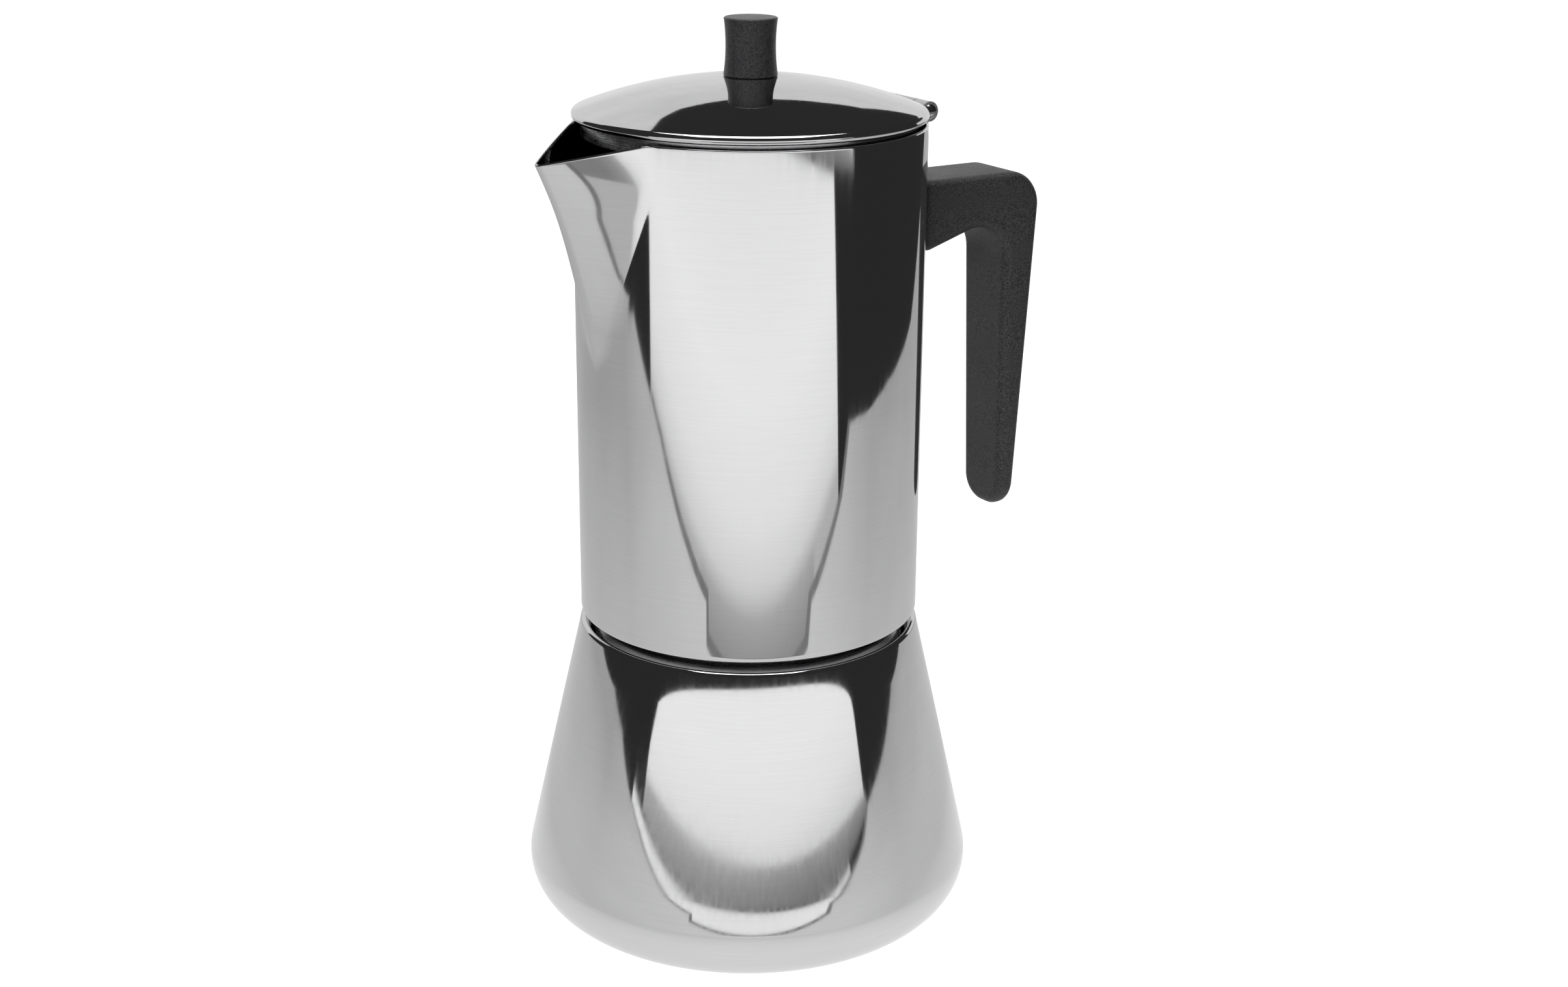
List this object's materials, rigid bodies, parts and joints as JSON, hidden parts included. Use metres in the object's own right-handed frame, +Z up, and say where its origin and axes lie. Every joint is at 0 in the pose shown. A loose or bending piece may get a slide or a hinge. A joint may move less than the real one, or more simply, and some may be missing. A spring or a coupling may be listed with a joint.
{
  "type": "stove-top moka pot",
  "caption": "Stainless stove-top espresso pot: flared boiler with safety valve, coffee funnel, screw-on upper chamber with vee spout, hinged lid, black knob and angled handle.",
  "frame": {"origin": "middle of the flat foot, on the ground", "axes": "+Z up along the pot's axis, +X towards the handle, -X towards the spout"},
  "size_m": [0.1502, 0.1276, 0.2454],
  "materials": {
    "polished_steel": "polished stainless steel, fine turning lines",
    "brushed_steel": "bright drawn stainless steel, unpolished inside surfaces",
    "phenolic": "moulded black phenolic, fine matt grain",
    "gasket_rubber": "white silicone rubber",
    "washer_fibre": "red fibre sealing washer",
    "brass": "turned brass",
    "spring_steel": "drawn spring wire"
  },
  "bodies": {
    "boiler": {"boiler_shell": "polished_steel", "boiler_thread_ring": "brushed_steel", "valve_body": "brass", "valve_washer": "washer_fibre", "valve_nut": "brass", "valve_cap": "brass", "valve_spring": "spring_steel"},
    "poppet": {"valve_poppet": "brass"},
    "funnel": {"funnel_basket": "brushed_steel", "funnel_tube": "brushed_steel", "basket_plate": "brushed_steel"},
    "seal": {"gasket": "gasket_rubber"},
    "filter": {"filter_plate": "brushed_steel"},
    "chamber": {"chamber_shell": "polished_steel", "chamber_floor": "brushed_steel", "chamber_thread_collar": "brushed_steel", "coffee_column": "brushed_steel", "column_cap": "brushed_steel", "hinge_fixed_leaf": "polished_steel", "hinge_pin": "polished_steel", "handle_grip": "phenolic", "handle_bracket": "polished_steel", "handle_washer": "brushed_steel", "handle_screw": "brushed_steel"},
    "lid": {"lid_shell": "polished_steel", "lid_skirt": "polished_steel", "lid_knob": "phenolic", "knob_insert": "brass", "knob_screw": "brushed_steel", "knob_washer": "brushed_steel", "hinge_lid_strap": "polished_steel"}
  },
  "joints": [
    {"name": "lift_off", "type": "slide", "parent": "boiler", "child": "seal", "axis": [0, 0, 1], "range_m": [0, 0.2]},
    {"name": "thread_rise", "type": "slide", "parent": "seal", "child": "filter", "axis": [0, 0, 1], "range_m": [0, 0.0045]},
    {"name": "unscrew", "type": "hinge", "parent": "filter", "child": "chamber", "pos_m": [0, 0, 0.15], "axis": [0, 0, 1], "range_deg": [0, 540]},
    {"name": "lid_hinge", "type": "hinge", "parent": "chamber", "child": "lid", "pos_m": [0.0494, 0, 0.219], "axis": [0, 1, 0], "range_deg": [0, 105]},
    {"name": "funnel_lift", "type": "slide", "parent": "boiler", "child": "funnel", "axis": [0, 0, 1], "range_m": [0, 0.09]},
    {"name": "valve_lift", "type": "slide", "parent": "boiler", "child": "poppet", "axis": [0, 0.975, 0.2224], "range_m": [0, 0.0012], "stiffness_N_per_m": 800, "springref_m": -0.004, "deforming": ["valve_spring"]}
  ],
  "couplings": [
    {"joint": "thread_rise", "follows": "unscrew", "m_per_rad": 0.00047746},
    {"joint": "funnel_lift", "follows": "lift_off", "ratio": 0.45}
  ]
}
